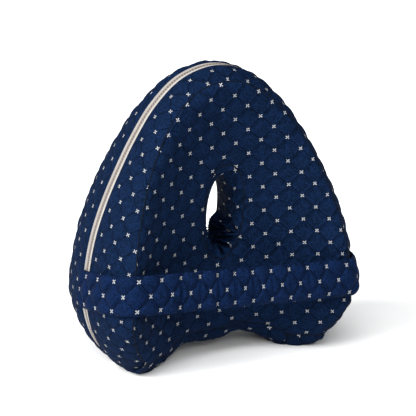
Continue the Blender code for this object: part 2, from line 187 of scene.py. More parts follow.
# %% Outline of the cushion
OUTLINE = np.array((
    # across, height, how far in from the zip the front and back seams lie
    (0.0000, 0.2500, 0.0097),
    (0.0289, 0.2424, 0.0092),
    (0.0539, 0.2210, 0.0080),
    (0.0719, 0.1950, 0.0079),
    (0.0859, 0.1694, 0.0093),
    (0.0982, 0.1433, 0.0121),
    (0.1082, 0.1156, 0.0152),
    (0.1140, 0.0887, 0.0166),
    (0.1168, 0.0559, 0.0164),
    (0.1041, 0.0183, 0.0165),
    (0.0729, -0.0064, 0.0135),
    (0.0306, 0.0112, 0.0132),
    (0.0000, 0.0092, 0.0142),
))
CURVE_STEPS, RING_STEPS = 48, 1536
HOLLOW_RADIUS, HOLLOW_END = 0.1295, 0.125    # the leg lies in a round hollow
HALF_THICK_MIDDLE, HALF_THICK_TOP, HALF_THICK_FOOT = 0.0236, 0.0318, 0.0200
THINNEST_LEVEL = 0.45
SEAM_ROLL, SEAM_ROLL_WIDTH = 0.0047, 0.010


def smooth_loop(rows, steps):
    """A closed cubic curve through the rows, with slopes weighted by the gaps beside each row."""
    before, after = np.roll(rows, 1, axis=0), np.roll(rows, -1, axis=0)
    gap = np.linalg.norm((after - rows)[:, :2], axis=1)[:, None]
    gap_before = np.roll(gap, 1, axis=0)
    slope = ((after - rows) / gap * gap_before + (rows - before) / gap_before * gap) / (gap + gap_before)
    t = (np.arange(steps) / steps)[None, :, None]
    pull, pull_end = (slope * gap)[:, None], (np.roll(slope, -1, axis=0) * gap)[:, None]
    curve = (
        rows[:, None] * (1 + 2 * t) * (1 - t) ** 2 + pull * t * (1 - t) ** 2
        + after[:, None] * t ** 2 * (3 - 2 * t) + pull_end * t ** 2 * (t - 1)
    )
    return curve.reshape(-1, rows.shape[1])


def even_steps(loop, count):
    """The same closed curve with evenly spaced points, and its length."""
    closed = np.vstack((loop, loop[:1]))
    run = np.concatenate(((0,), np.cumsum(np.linalg.norm(np.diff(closed[:, :2], axis=0), axis=1))))
    places = np.linspace(0, run[-1], count, endpoint=False)
    return np.stack([np.interp(places, run, column) for column in closed.T], axis=1), run[-1]


def hollow(x, z):
    """Half thickness: a middle value that grows with the square of the height above or below the
    thinnest level, plus a circle's drop, radius - sqrt(radius^2 - x^2)."""
    level = z / HEIGHT
    above = np.clip((level - THINNEST_LEVEL) / (1 - THINNEST_LEVEL), 0, None) ** 2
    below = np.clip(1 - level / THINNEST_LEVEL, 0, None) ** 2
    middle = HALF_THICK_MIDDLE + (HALF_THICK_TOP - HALF_THICK_MIDDLE) * above
    middle = middle + (HALF_THICK_FOOT - HALF_THICK_MIDDLE) * below
    return middle + HOLLOW_RADIUS - np.sqrt(HOLLOW_RADIUS ** 2 - np.clip(x, -HOLLOW_END, HOLLOW_END) ** 2)


left_half = OUTLINE[-2:0:-1] * (-1, 1, 1)
outline, RING_LENGTH = even_steps(smooth_loop(np.vstack((OUTLINE, left_half)), CURVE_STEPS), RING_STEPS)
zip_line, inset = outline[:, :2].copy(), outline[:, 2]
press = np.maximum(-zip_line[:, 1], 0)
zip_line[:, 1] += press
# the direction of the line is its central difference over four steps
along = np.roll(zip_line, -2, axis=0) - np.roll(zip_line, 2, axis=0)
along /= np.linalg.norm(along, axis=1)[:, None]
inward = np.stack((along[:, 1], -along[:, 0]), axis=1)
SEAM = zip_line + inward * inset[:, None]
RING = np.column_stack((zip_line, inward, inset, hollow(SEAM[:, 0], SEAM[:, 1]) - SEAM_ROLL, press))
print("the zip line is", round(RING_LENGTH, 4), "m long")


# %% [markdown]
# ## The side panel
#
# The side panel is a long strip of quilted cloth with the zip in its middle. It is flat at the zip and turns
# in towards both seams, because the foam pushes it out. It could be lofted between curves. As a function of
# the distance round and the distance across, the quilting, the zip and the strap can all ask it for a place.

# %% Side panel
BULGE_POWER = 3.0                 # flat at the zip, turning in at the seams
# the channel of the zip: its floor and its top edge are this far from the zip's line
CHANNEL_FLOOR, CHANNEL_TOP, CHANNEL_DEPTH = 0.0060, 0.0070, 0.0022
# the sewn tuck between the lobes lifts the cloth
TUCK_X, TUCK_RISE, TUCK_WIDTH, TUCK_REACH = 0.018, 0.0060, 0.012, 0.055


def ring_at(run):
    """The ring's columns at any distance round from the top, straight between its points."""
    steps = np.asarray(run) / RING_LENGTH * RING_STEPS
    first = np.floor(steps).astype(int)
    part = (steps - first)[..., None]
    return RING[first % RING_STEPS] * (1 - part) + RING[(first + 1) % RING_STEPS] * part


def side_panel(run, across):
    """Run is the distance round, across the distance from the zip. The panel turns in by the seam's
    inset times the cube of turn, where turn goes from 0 at the zip to 1 at a seam."""
    ring = ring_at(run)
    half, girth = ring[..., 5], np.hypot(ring[..., 4], ring[..., 5])
    turn = across / half - (girth / half - 1) * (across / girth) ** 3
    out = np.clip((np.abs(across) - CHANNEL_FLOOR) / (CHANNEL_TOP - CHANNEL_FLOOR), 0, 1)
    depth = ring[..., 4] * np.abs(turn) ** BULGE_POWER + CHANNEL_DEPTH * (1 - out)
    sunk = ring[..., 6] * out * (1 - turn ** 4)
    x = ring[..., 0] + ring[..., 2] * depth
    return np.stack((x, turn * half, ring[..., 1] + ring[..., 3] * depth - sunk), axis=-1)


def settle(points):
    """Draws the sewn tuck up between the lobes, flattens what is under the floor, and moves the
    cushion back to its place in the model."""
    lift = TUCK_RISE * np.exp(-((points[..., 0] - TUCK_X) / TUCK_WIDTH) ** 2)
    lift = lift * np.clip(1 - points[..., 2] / TUCK_REACH, 0, 1) ** 2
    z = np.maximum(points[..., 2] + lift, 0.0)
    return np.stack((points[..., 0], points[..., 1] + MIDDLE_Y, z), axis=-1)


# %% [markdown]
# ## The hole
#
# The hole is a leaning oval at each face. The foam swells into it, so half way through it is a narrow
# pointed slot. At the bottom the spare cloth is bunched into folds that fan out from one stitched point. A
# boolean could cut the hole, but a grid that runs from the rim to the outer seam keeps the cloth in one
# even mesh.

# %% Rim of the hole
HOLE_Z, HOLE_HALF_WIDTH, HOLE_HALF_HEIGHT = 0.1285, 0.0180, 0.0405
HOLE_ROUNDNESS, HOLE_LEAN = 2.3, 0.07
THROAT_HALF_WIDTH, THROAT_HALF_HEIGHT, THROAT_ROUNDNESS = 0.0114, 0.0300, 1.75
THROAT_LEAN, THROAT_DROP = 0.02, 0.0042
THROAT_ROLL = 2.1                 # with 2 the roll into the hole would be an ellipse
RIM_DROP, RIM_WIDTH = 0.0016, 0.0050


def oval_towards(x, z, half_width, half_height, roundness, lean):
    """A leaning oval's point in the direction of (x, z) from the middle of the hole: the radius is
    (|(sin - lean cos) / half width|^n + |cos / half height|^n)^(-1/n)."""
    far = np.hypot(x, z)
    sin, cos = x / far, z / far
    across = np.abs((sin - lean * cos) / half_width) ** roundness
    up = np.abs(cos / half_height) ** roundness
    radius = (across + up) ** (-1 / roundness)
    return np.stack((sin * radius, cos * radius + HOLE_Z), axis=-1)


def nearest(points, loop):
    """Distance from each (x, z) to the nearest point of a loop, from |a|^2 + |b|^2 - 2 a.b."""
    flat = points.reshape(-1, 2)
    squared = (flat ** 2).sum(1)[:, None] + (loop ** 2).sum(1)[None] - 2 * flat @ loop.T
    return np.sqrt(np.maximum(squared.min(axis=1), 0)).reshape(points.shape[:-1])


angles = np.linspace(0, 2 * np.pi, 241)[:-1]
MOUTH = (HOLE_HALF_WIDTH, HOLE_HALF_HEIGHT, HOLE_ROUNDNESS, HOLE_LEAN)
THROAT = (THROAT_HALF_WIDTH, THROAT_HALF_HEIGHT, THROAT_ROUNDNESS, THROAT_LEAN)
RIM = oval_towards(np.sin(angles), np.cos(angles), *MOUTH)
print("the hole is", np.round(np.ptp(RIM, axis=0), 4), "m across and high")


def face_panel(points):
    """Half thickness of a face: the hollow, rolled down by a square law at the outer seam and at the
    rim of the hole."""
    from_seam = np.clip(1 - nearest(points, SEAM[::2]) / SEAM_ROLL_WIDTH, 0, 1)
    from_rim = np.clip(1 - nearest(points, RIM) / RIM_WIDTH, 0, 1)
    return hollow(points[..., 0], points[..., 1]) - SEAM_ROLL * from_seam ** 2 - RIM_DROP * from_rim ** 2


# %% [markdown]
# ## Quilting
#
# Sewing through the cover and its wadding leaves a puff in every diamond and a narrow valley along every
# line. The pattern is given by two numbers that grow along the two directions of stitching: a whole number
# is a sewn line. The same two numbers raise the mesh and, kept as the UV map, steer the material, so the
# stitching and the woven crosses can't slide off the puffs.

# %% Diamonds
FACE_DIAMOND, FACE_TURN, FACE_START = (0.0218, 0.0206), np.radians(3.7), (0.0067, 0.2285)
SIDE_DIAMONDS_ROUND = 38          # a whole number, so that the pattern meets itself
SIDE_DIAMOND = (RING_LENGTH / SIDE_DIAMONDS_ROUND, 0.0208)
SIDE_START_ACROSS, SIDE_START_FRONT, SIDE_START_BACK = 0.0055, 0.0029, -0.0023
FACE_PUFF, SIDE_PUFF = 0.0012, 0.0013
LEAST_PUFF, PUFF_SPREAD = 0.82, 0.36         # no two diamonds are stuffed alike


def diamonds(right, up, size):
    """right / width + up / height and right / width - up / height: whole numbers are sewn lines."""
    return np.stack((right / size[0] + up / size[1], right / size[0] - up / size[1]), axis=-1)


def face_diamonds(points):
    """Quilting numbers of a face, laid over its hollow: radius * asin(x / radius) across."""
    across = HOLLOW_RADIUS * np.arcsin(np.clip(points[..., 0] / HOLLOW_RADIUS, -0.99, 0.99)) - FACE_START[0]
    up = points[..., 1] - FACE_START[1]
    cos, sin = np.cos(FACE_TURN), np.sin(FACE_TURN)
    return diamonds(across * cos + up * sin, up * cos - across * sin, FACE_DIAMOND)


def puffs(quilt, plump=2.4):
    """1 - (1 - 2 d)^plump for the distance d to the nearest line each way, multiplied together, and a
    little different in every diamond."""
    away = np.abs(quilt - np.round(quilt))
    height = (1 - (1 - 2 * away) ** plump).prod(axis=-1)
    cell = np.floor(quilt)
    # the fraction of a large sine looks random and is the same in each run
    uneven = np.sin(cell[..., 0] * 12.9898 + cell[..., 1] * 78.233) * 43758.5453
    return height * (LEAST_PUFF + PUFF_SPREAD * (uneven - np.floor(uneven)))


# %% [markdown]
# ## One grid for the whole cover
#
# The cover is a ring of six strips: face, side, zip channel, side, back face and lining. Separate panels
# could be modelled and joined. Here each strip starts on the row where the last one ends, so the mesh is
# closed both ways, with nothing to weld.

# %% Grid of the cushion
COLUMNS = 420
FACE_ROWS, SIDE_ROWS, CHANNEL_ROWS, LINING_ROWS = 60, 34, 7, 40
RIM_FLAT, RIM_FADE = 0.002, 0.005 # the puffs fade out before the rim of the hole
SEAM_FADE, SIDE_FADE = 0.003, 0.0025

run = np.arange(COLUMNS + 1) * RING_LENGTH / COLUMNS          # the last column is the first again
ring = ring_at(run)
girth = np.hypot(ring[:, 4], ring[:, 5])
seam = ring[:, :2] + ring[:, 2:4] * ring[:, 4:5]
rim = oval_towards(seam[:, 0], seam[:, 1] - HOLE_Z, *MOUTH)

share = np.linspace(0, 1, FACE_ROWS + 1)[:, None, None]
face = rim + (seam - rim) * share
face_half = face_panel(face)
face_quilt = face_diamonds(face)
from_rim, from_seam = nearest(face, RIM), nearest(face, SEAM[::2])
face_fade = np.clip((from_rim - RIM_FLAT) / RIM_FADE, 0, 1) * np.clip(from_seam / SEAM_FADE, 0, 1)
face_puffs = FACE_PUFF * puffs(face_quilt) * face_fade
print("face grid", face_half.shape)


def side_rows(side):
    """Rows of the side panel from a seam to the zip's channel, with their quilting and puffs."""
    share = np.linspace(1, 0, SIDE_ROWS + 1)[:, None]
    across = CHANNEL_TOP + (girth - CHANNEL_TOP) * share
    start = SIDE_START_FRONT if side < 0 else SIDE_START_BACK
    quilt = diamonds(run - start, across - SIDE_START_ACROSS, SIDE_DIAMOND)
    edge = np.minimum(girth - across, across - CHANNEL_TOP)
    return side_panel(run, side * across), quilt, SIDE_PUFF * puffs(quilt) * np.clip(edge / SIDE_FADE, 0, 1)


front_side, front_quilt, front_puffs = side_rows(-1)
back_side, back_quilt, back_puffs = side_rows(1)
channel_across = np.linspace(-CHANNEL_TOP, CHANNEL_TOP, CHANNEL_ROWS + 1)[:, None] * np.ones(COLUMNS + 1)
channel = side_panel(run, channel_across)
print("side grid", front_side.shape, "channel", channel.shape)


# %% [markdown]
# ## The lining and its folds
#
# The lining is sewn from rim to rim. Half way through, the foam squeezes it to a slot, and at the bottom it
# is bunched. The folds are waves of the angle about the stitched point, which is cheaper and steadier than
# a cloth simulation, and keeps the woven crosses in their places.

# %% Lining of the hole
FOLD_POINT = np.array((-0.0138, -0.0215, 0.1078))      # the folds fan out from here
FOLD_HEIGHT, FOLD_REACH = 0.0042, 0.038
FOLD_START, FOLD_END = 0.009, 0.014            # the folds fade in and out over these lengths
FOLD_TOP, FOLD_TOP_FADE = 0.121, 0.012         # and end at this height
FOLD_COUNT, FINE_FOLD_COUNT = 8.5, 29
# right and up as the camera sees them
VIEW_RIGHT, VIEW_UP = np.array((0.90, -0.43, 0.0)), np.array((0.13, 0.27, 0.96))
LINING_DIAMOND, LINING_DIAMONDS_ROUND = (0.0211, 0.0208), 9

step = np.sin(np.linspace(np.pi / 2, -np.pi / 2, LINING_ROWS + 1))[:, None]      # back face to front face
narrowed = (1 - np.abs(step) ** THROAT_ROLL) ** (1 / THROAT_ROLL)
throat = oval_towards(seam[:, 0], seam[:, 1] - HOLE_Z, *THROAT) - (0, THROAT_DROP)
lining_flat = rim + (throat - rim) * narrowed[..., None]
lining = np.stack((lining_flat[..., 0], step * face_half[0], lining_flat[..., 1]), axis=-1)
rim_run = np.concatenate(((0,), np.cumsum(np.linalg.norm(np.diff(rim, axis=0), axis=1))))
lining_round = rim_run * LINING_DIAMONDS_ROUND / rim_run[-1] * LINING_DIAMOND[0] + 0 * step
lining_steps = np.linalg.norm(np.diff(lining, axis=0), axis=-1)
lining_deep = np.vstack((np.zeros((1, COLUMNS + 1)), np.cumsum(lining_steps, axis=0)))
lining_quilt = diamonds(lining_round, lining_deep - lining_deep[-1] / 2, LINING_DIAMOND)


def fan_folds(points):
    """Folds that fan out from the stitched point: cosines of the angle about it as the viewer sees it,
    fading in from the point and out at the end of their reach and above the bottom of the hole."""
    away = points - FOLD_POINT
    right, up = away @ VIEW_RIGHT, away @ VIEW_UP
    far, angle = np.hypot(right, up), np.arctan2(up, right)
    fine = 0.3 * np.cos(angle * FINE_FOLD_COUNT + 2.0)
    ridges = 1.2 - 2 * np.abs(np.sin(angle * FOLD_COUNT - 0.9)) ** 0.7 + fine
    fade = np.clip(far / FOLD_START, 0, 1) * np.clip((FOLD_REACH - far) / FOLD_END, 0, 1)
    return ridges * fade * np.clip((FOLD_TOP - points[..., 2]) / FOLD_TOP_FADE, 0, 1)


print("lining grid", lining.shape)

# %% [markdown]
# ## The press of the strap
#
# The strap is drawn tight, so the quilting under it is pressed flat and a little in.

# %% Press of the strap
STRAP_LINE = np.array((
    # side of the cushion, from left to right; height of the strap's middle
    (-2.0, 0.0715),
    (-1.0, 0.0825),
    (1.0, 0.0700),
    (2.0, 0.0620),
))
PRESS_HALF_WIDTH, PRESS_FADE, STRAP_PRESS = 0.0175, 0.0060, 0.0008
FRONT_EDGE_Y, STRAP_FROM_X, STRAP_TO_Y = 0.065, 0.080, 0.008


def free_of_strap(points):
    """From 0 under the strap to 1 away from it, on the front half of the side panel."""
    forward = np.clip(-points[..., 1] / FRONT_EDGE_Y, -0.2, 1)
    left = np.interp(forward, (0, 1), STRAP_LINE[:2, 1])
    right = np.interp(forward, (0, 1), STRAP_LINE[:1:-1, 1])
    middle = np.where(points[..., 0] < 0, left, right)
    free = np.clip((np.abs(points[..., 2] - middle) - PRESS_HALF_WIDTH) / PRESS_FADE, 0, 1)
    reached = (np.abs(points[..., 0]) > STRAP_FROM_X) & (points[..., 1] < STRAP_TO_Y)
    return np.where(reached, free, 1.0)


# %% [markdown]
# ## From numbers to a mesh
#
# Blender takes whole arrays of points and corners at once, which is much faster than adding faces one by
# one. Three helpers work out the normals, number the corners and put the arrays into a mesh.

# %% Mesh helpers
def grid_normals(points):
    """Unit normals of a grid that is closed both ways: the cross product of its two differences."""
    down = np.roll(points, -1, axis=0) - np.roll(points, 1, axis=0)
    over = np.roll(points, -1, axis=1) - np.roll(points, 1, axis=1)
    normal = np.cross(down, over)
    return normal / np.maximum(np.linalg.norm(normal, axis=-1, keepdims=True), 1e-12)


def quads(rows, columns, close_rows=True, close_columns=True):
    """Corner numbers of a grid's faces, each way round the last row or column where it is closed."""
    row = np.arange(rows if close_rows else rows - 1)[:, None]
    column = np.arange(columns if close_columns else columns - 1)[None]
    next_row, next_column = (row + 1) % rows, (column + 1) % columns
    around = ((row, column), (row, next_column), (next_row, next_column), (next_row, column))
    corners = [r * columns + c for r, c in around]
    return np.stack(corners, axis=-1).reshape(-1, 4)


def add_surface(name, points, faces, corner_uv, material):
    """Puts whole arrays of points and four-cornered faces into a smooth mesh that rides on the model."""
    mesh = bpy.data.meshes.new(name)
    mesh.vertices.add(len(points))
    mesh.vertices.foreach_set("co", points.astype(np.float32).ravel())
    mesh.loops.add(faces.size)
    mesh.loops.foreach_set("vertex_index", faces.astype(np.int32).ravel())
    mesh.polygons.add(len(faces))
    mesh.polygons.foreach_set("loop_start", np.arange(0, faces.size, 4, dtype=np.int32))
    mesh.update(calc_edges=True)
    mesh.uv_layers.new(name="pattern").data.foreach_set("uv", corner_uv.astype(np.float32).ravel())
    mesh.shade_smooth()
    mesh.materials.append(material)
    piece = bpy.data.objects.new(name, mesh)
    scene.collection.objects.link(piece)
    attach(piece, "root")
    print(name, "has", 2 * len(faces), "triangles")
    return piece


# %% [markdown]
# ## Quilted jersey
#
# The cloth is a knitted polyester jersey, dyed navy and sewn to a thin wadding. To the eye it is deep, matt
# and slightly heathered, with small pale crosses; the crease along each sewn line is darkened as painted
# shade.
# An image could hold the pattern, but the quilting numbers draw it sharp at any distance.

# %% Quilted jersey
def quilted_cloth(name, dark, light, cross, looks):
    """Knitted jersey with sewn lines on the whole numbers of its UV map and a woven cross at each
    corner. The arms of a cross lie along the sewn lines."""
    material, tree, shader = new_material(name, looks)
    place = add(tree, "TexCoord")
    pattern = add(tree, "SeparateXYZ", (place.outputs["UV"],))
    away = []
    for number in pattern.outputs[:2]:
        moved = add(tree, "Math", (number, 0.5), operation="ADD")
        wrapped = add(tree, "Math", (moved,), operation="FRACT")
        centred = add(tree, "Math", (wrapped, 0.5), operation="SUBTRACT")
        away.append(add(tree, "Math", (centred,), operation="ABSOLUTE"))
    nearest_line = add(tree, "Math", away, operation="MINIMUM")
    along_line = add(tree, "Math", away, operation="MAXIMUM")
    soft = {"interpolation_type": "SMOOTHSTEP"}
    groove = add(tree, "MapRange", (nearest_line, 0.0, GROOVE_HALF, 1.0, 0.0), **soft)
    valley = add(tree, "MapRange", (nearest_line, 0.0, VALLEY_HALF, 1.0, 0.0), **soft)
    # the yarn of a cross is raised, so its edges are soft and its middle is a little sunk
    arm = add(tree, "MapRange", (nearest_line, CROSS_HALF * 0.7, CROSS_HALF * 1.3, 1.0, 0.0))
    reach = add(tree, "MapRange", (along_line, CROSS_REACH * 0.9, CROSS_REACH * 1.1, 1.0, 0.0))
    middle = add(tree, "MapRange", (along_line, CROSS_HALF * 0.6, CROSS_HALF * 1.6, 0.45, 1.0))
    shape = add(tree, "Math", (arm, reach), operation="MULTIPLY")
    woven = add(tree, "Math", (shape, middle), operation="MULTIPLY")
    knit = add(tree, "TexNoise", {"Vector": place.outputs["Object"], "Scale": KNIT_SCALE, "Detail": 2.0})
    cloudy = add(tree, "TexNoise", {"Vector": place.outputs["Object"], "Scale": CLOUD_SCALE, "Detail": 3.0})
    speckle = add(tree, "Math", (knit, HEATHER, -HEATHER_CUT), operation="MULTIPLY_ADD")
    shade = add(tree, "Math", (cloudy, 0.5, speckle), operation="MULTIPLY_ADD", use_clamp=True)
    dyed = add(tree, "Mix", {0: shade, 6: colour(dark), 7: colour(light)}, data_type="RGBA")
    # painted shade: the crease along each sewn line is darkened towards a near-black colour
    sewn = add(tree, "Math", (groove, CREASE_SHADE_STRENGTH), operation="MULTIPLY")
    crease_shaded = add(tree, "Mix", {0: sewn, 6: dyed.outputs[2], 7: colour(CREASE_SHADE_COLOUR)}, data_type="RGBA")
    marked = add(tree, "Mix", {0: woven, 6: crease_shaded.outputs[2], 7: colour(cross)}, data_type="RGBA")
    tree.links.new(marked.outputs[2], shader.inputs["Base Color"])
    # the bump adds the knit, takes off the valley and the crease of the stitching, and lifts the crosses
    relief = add(tree, "Math", (knit, 0.18), operation="MULTIPLY")
    relief = add(tree, "Math", (valley, -1.0, relief), operation="MULTIPLY_ADD")
    relief = add(tree, "Math", (groove, -0.7, relief), operation="MULTIPLY_ADD")
    relief = add(tree, "Math", (woven, 0.5, relief), operation="MULTIPLY_ADD")
    bump = add(tree, "Bump", {"Height": relief, "Distance": QUILT_RELIEF, "Strength": 1.0})
    tree.links.new(bump.outputs[0], shader.inputs["Normal"])
    return material


# in diamonds, whose sewn lines are about 15 mm apart: a line is 0.8 mm wide, and a cross's arm is 0.7 mm
# wide and 1.8 mm long
GROOVE_HALF, CROSS_HALF, CROSS_REACH, VALLEY_HALF = 0.026, 0.024, 0.118, 0.24
# the knit's stitches are 0.6 mm apart; they are drawn 1.4 mm apart, so that they show
KNIT_SCALE, CLOUD_SCALE = 700.0, 60.0
HEATHER, HEATHER_CUT = 2.2, 0.82
# the colour and strength of the painted shade in each crease, and the depth of the bump
CREASE_SHADE_COLOUR, CREASE_SHADE_STRENGTH, QUILT_RELIEF = "#02050c", 0.62, 0.0013
# brushed fibres swallow the light: almost no gloss, and a trace of blue sheen at grazing angles
JERSEY_LOOKS = {
    "Roughness": 0.85,
    "Specular IOR Level": 0.03,
    "Sheen Weight": 0.008,
    "Sheen Roughness": 0.4,
    "Sheen Tint": colour("#8fa4d6"),
}
jersey = quilted_cloth("navy_quilted_jersey", "#020a16", "#0c1e3c", "#c6c8ca", JERSEY_LOOKS)
print("made", jersey.name)


# %% [markdown]
# ## The finished cushion
#
# The strips are stacked, each point is moved along its normal by the height of the quilting, and the mesh
# closes over the last row and the last column. Moving the points, and not only shading them, gives the
# outline its soft waves.

# %% Cushion in one piece
def heights_below(points, puff):
    """Height of the cloth over the smooth shape: puffs, pressed flat and in under the strap."""
    free = free_of_strap(points)
    return puff * free - STRAP_PRESS * (1 - free)


front_face = np.stack((face[..., 0], -face_half, face[..., 1]), axis=-1)
back_face = np.stack((face[..., 0], face_half, face[..., 1]), axis=-1)
blocks = (
    # points, quilting numbers, height over the smooth shape; each block ends where the next starts
    (front_face, face_quilt, heights_below(front_face, face_puffs)),
    (front_side, front_quilt, heights_below(front_side, front_puffs)),
    (channel, np.full((*channel.shape[:2], 2), 0.5), np.zeros(channel.shape[:2])),
    (back_side[::-1], back_quilt[::-1], back_puffs[::-1]),
    (back_face[::-1], face_quilt[::-1], face_puffs[::-1]),
    (lining, lining_quilt, np.zeros(lining.shape[:2])),
)
smooth = np.concatenate([points[:-1, :-1] for points, _, _ in blocks])
height = np.concatenate([raised[:-1, :-1] for _, _, raised in blocks])
normal = grid_normals(smooth)
lining_rows = np.arange(len(smooth)) >= len(smooth) - LINING_ROWS
inside = np.clip(1 - (smooth[..., 1] / face_half[0, :-1]) ** 8, 0, 1)
folds = fan_folds(smooth) * lining_rows[:, None] * inside
height = height + folds * FOLD_HEIGHT
outward = np.sign((normal[FACE_ROWS // 2, :, 1] * -1).mean())
cloth = settle(smooth + normal * outward * height[..., None])
faces = quads(*cloth.shape[:2])
if outward < 0:
    faces = faces[:, ::-1]
uv = []
for _, quilt, _ in blocks:
    four = [quilt[:-1, :-1], quilt[:-1, 1:], quilt[1:, 1:], quilt[1:, :-1]]
    uv.append(np.stack(four if outward > 0 else four[::-1], axis=2).reshape(-1, 4, 2))
cushion = add_surface(
    "cushion_cover", cloth.reshape(-1, 3), faces, np.concatenate(uv), jersey
)
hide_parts("cushion")
cover_low, cover_high = cloth.min(axis=(0, 1)), cloth.max(axis=(0, 1))
print("cover from", cover_low.round(4), "to", cover_high.round(4))


# %% [markdown]
# ## Seams
#
# Dark thread joins the faces to the side panel and to the lining of the hole. Each seam is one thin tube
# that follows a row of the cover, pinched between its stitches, so it lies in the crease and reads as a
# fine dark line.

# %% Seam threads
THREAD_RADIUS, THREAD_SIDES, THREAD_FINE = 0.00045, 6, 5
STITCH = 0.0032

# spun cotton is matt and fuzzy: dyed nearly black, it shows as a fine line with a faint twist
cotton, tree, shader = new_material(
    "twisted_cotton_thread", {"Roughness": 0.8, "Specular IOR Level": 0.1}
)
place = add(tree, "TexCoord")
twist = add(tree, "TexWave", {"Vector": place.outputs["UV"], "Scale": 3.0, "Distortion": 1.0})
inked = add(tree, "Mix", {0: twist, 6: colour("#010306"), 7: colour("#060b16")}, data_type="RGBA")
tree.links.new(inked.outputs[2], shader.inputs["Base Color"])


def thread_along(name, loop):
    """A closed tube: radius * (0.6 + 0.4 |sin|) in rhythm with the stitches, round a closed line."""
    count = len(loop) * THREAD_FINE
    at = np.arange(count) / THREAD_FINE
    first = np.floor(at).astype(int)
    part = (at - first)[:, None]
    line = loop[first % len(loop)] * (1 - part) + loop[(first + 1) % len(loop)] * part
    ahead = np.roll(line, -2, axis=0) - np.roll(line, 2, axis=0)
    ahead /= np.linalg.norm(ahead, axis=1)[:, None]
    depth = np.tile((0.0, 1.0, 0.0), (count, 1))
    depth -= ahead * (ahead * depth).sum(axis=1, keepdims=True)
    depth /= np.linalg.norm(depth, axis=1)[:, None]
    sideways = np.cross(ahead, depth)
    run = np.concatenate(((0,), np.cumsum(np.linalg.norm(np.diff(line, axis=0), axis=1))))
    radius = THREAD_RADIUS * (0.6 + 0.4 * np.abs(np.sin(np.pi * run / STITCH)))
    turn = np.arange(THREAD_SIDES)[:, None, None] * 2 * np.pi / THREAD_SIDES
    tube = line + radius[:, None] * (np.cos(turn) * depth + np.sin(turn) * sideways)
    tube[..., 2] = np.maximum(tube[..., 2], 0.0)
    faces = quads(THREAD_SIDES, count)
    uv = np.stack((run[faces % count] / STITCH, faces // count), axis=-1)
    piece = add_surface(name, tube.reshape(-1, 3), faces, uv, cotton)
    shell = bmesh.new()
    shell.from_mesh(piece.data)
    bmesh.ops.recalc_face_normals(shell, faces=shell.faces)
    shell.to_mesh(piece.data)
    shell.free()
    return piece


BACK_SEAM_ROW = FACE_ROWS + 2 * SIDE_ROWS + CHANNEL_ROWS
BACK_RIM_ROW = BACK_SEAM_ROW + FACE_ROWS
thread_along("seam_thread_front", cloth[FACE_ROWS])
thread_along("seam_thread_back", cloth[BACK_SEAM_ROW])
thread_along("seam_thread_hole_front", cloth[0])
thread_along("seam_thread_hole_back", cloth[BACK_RIM_ROW])


# %% [markdown]
# ## The strap
#
# The strap is a flat tube of the same jersey with elastic inside. It is sewn down just behind the zip, goes
# round both sides and is drawn tight across the hollow. The elastic gathers the cloth, so the diamonds are
# narrower in the middle, with a vertical crease between the crosses. The tube is a band profile carried
# along a path. The path comes from the side panel, and its two corners are rounded by an average.

# %% Path of the strap
STRAP_END, STRAP_CLEAR = 0.10, 0.0007
STRAP_HALF_HEIGHT, STRAP_THICK, STRAP_HEM = 0.0160, 0.0046, 0.0022
STRAP_SIDE_COLUMNS, STRAP_FRONT_COLUMNS, STRAP_ROWS = 70, 230, 34
CORNER_ROUND = 0.0035
SIDE_FROM, SIDE_TO = 0.12, 0.42    # share of the ring, from its top, that holds the right side


def beside(turn, z):
    """Place on the right side panel at a height: the zip's line is found at the height that the
    panel's turn brings to z, by four rounds of correction."""
    step = np.arange(RING_STEPS)
    part = RING[(step > RING_STEPS * SIDE_FROM) & (step < RING_STEPS * SIDE_TO)]
    part = part[np.argsort(part[:, 1])]
    at_zip = z
    for _ in range(4):
        inward_z, inset = (np.interp(at_zip, part[:, 1], part[:, column]) for column in (3, 4))
        at_zip = z - inward_z * inset * np.abs(turn) ** BULGE_POWER
    x, inward_x, inset, half = (np.interp(at_zip, part[:, 1], part[:, column]) for column in (0, 2, 4, 5))
    return x + inward_x * inset * np.abs(turn) ** BULGE_POWER, turn * half


section = np.linspace(-np.pi / 2, np.pi / 2, STRAP_ROWS)
strap_up = STRAP_HALF_HEIGHT * np.sin(section)[:, None]
turns = np.linspace(STRAP_END, -1, STRAP_SIDE_COLUMNS + 1)
left_z = np.interp(-2 - np.minimum(turns, 0), STRAP_LINE[:, 0], STRAP_LINE[:, 1]) + strap_up
left_x, left_y = beside(turns + 0 * left_z, left_z)
turns = turns[::-1]
right_z = np.interp(2 + np.minimum(turns, 0), STRAP_LINE[:, 0], STRAP_LINE[:, 1]) + strap_up
right_x, right_y = beside(turns + 0 * right_z, right_z)
left, right = np.stack((-left_x, left_y, left_z), axis=-1), np.stack((right_x, right_y, right_z), axis=-1)
share = np.linspace(0, 1, STRAP_FRONT_COLUMNS + 1)[1:-1, None]
front = left[:, -1:] + (right[:, :1] - left[:, -1:]) * share
path = np.concatenate((left, front, right), axis=1)
middle_steps = np.linalg.norm(np.diff(path[STRAP_ROWS // 2], axis=0), axis=1)
strap_run = np.concatenate(((0,), np.cumsum(middle_steps)))
weight = np.exp(-((strap_run[:, None] - strap_run[None]) / CORNER_ROUND) ** 2 / 2)
weight /= weight.sum(axis=1, keepdims=True)
path = np.einsum("ij,rjk->rik", weight, path)
print("the strap is", round(strap_run[-1], 4), "m long")

# %% [markdown]
# ## Gathers
#
# Elastic draws the strap together, so its diamonds are unevenly narrow. The table gives where the crosses
# of the middle row are on the strap in the photograph. The count of crosses runs along the band, and the
# creases, the quilting and the material all read that count.

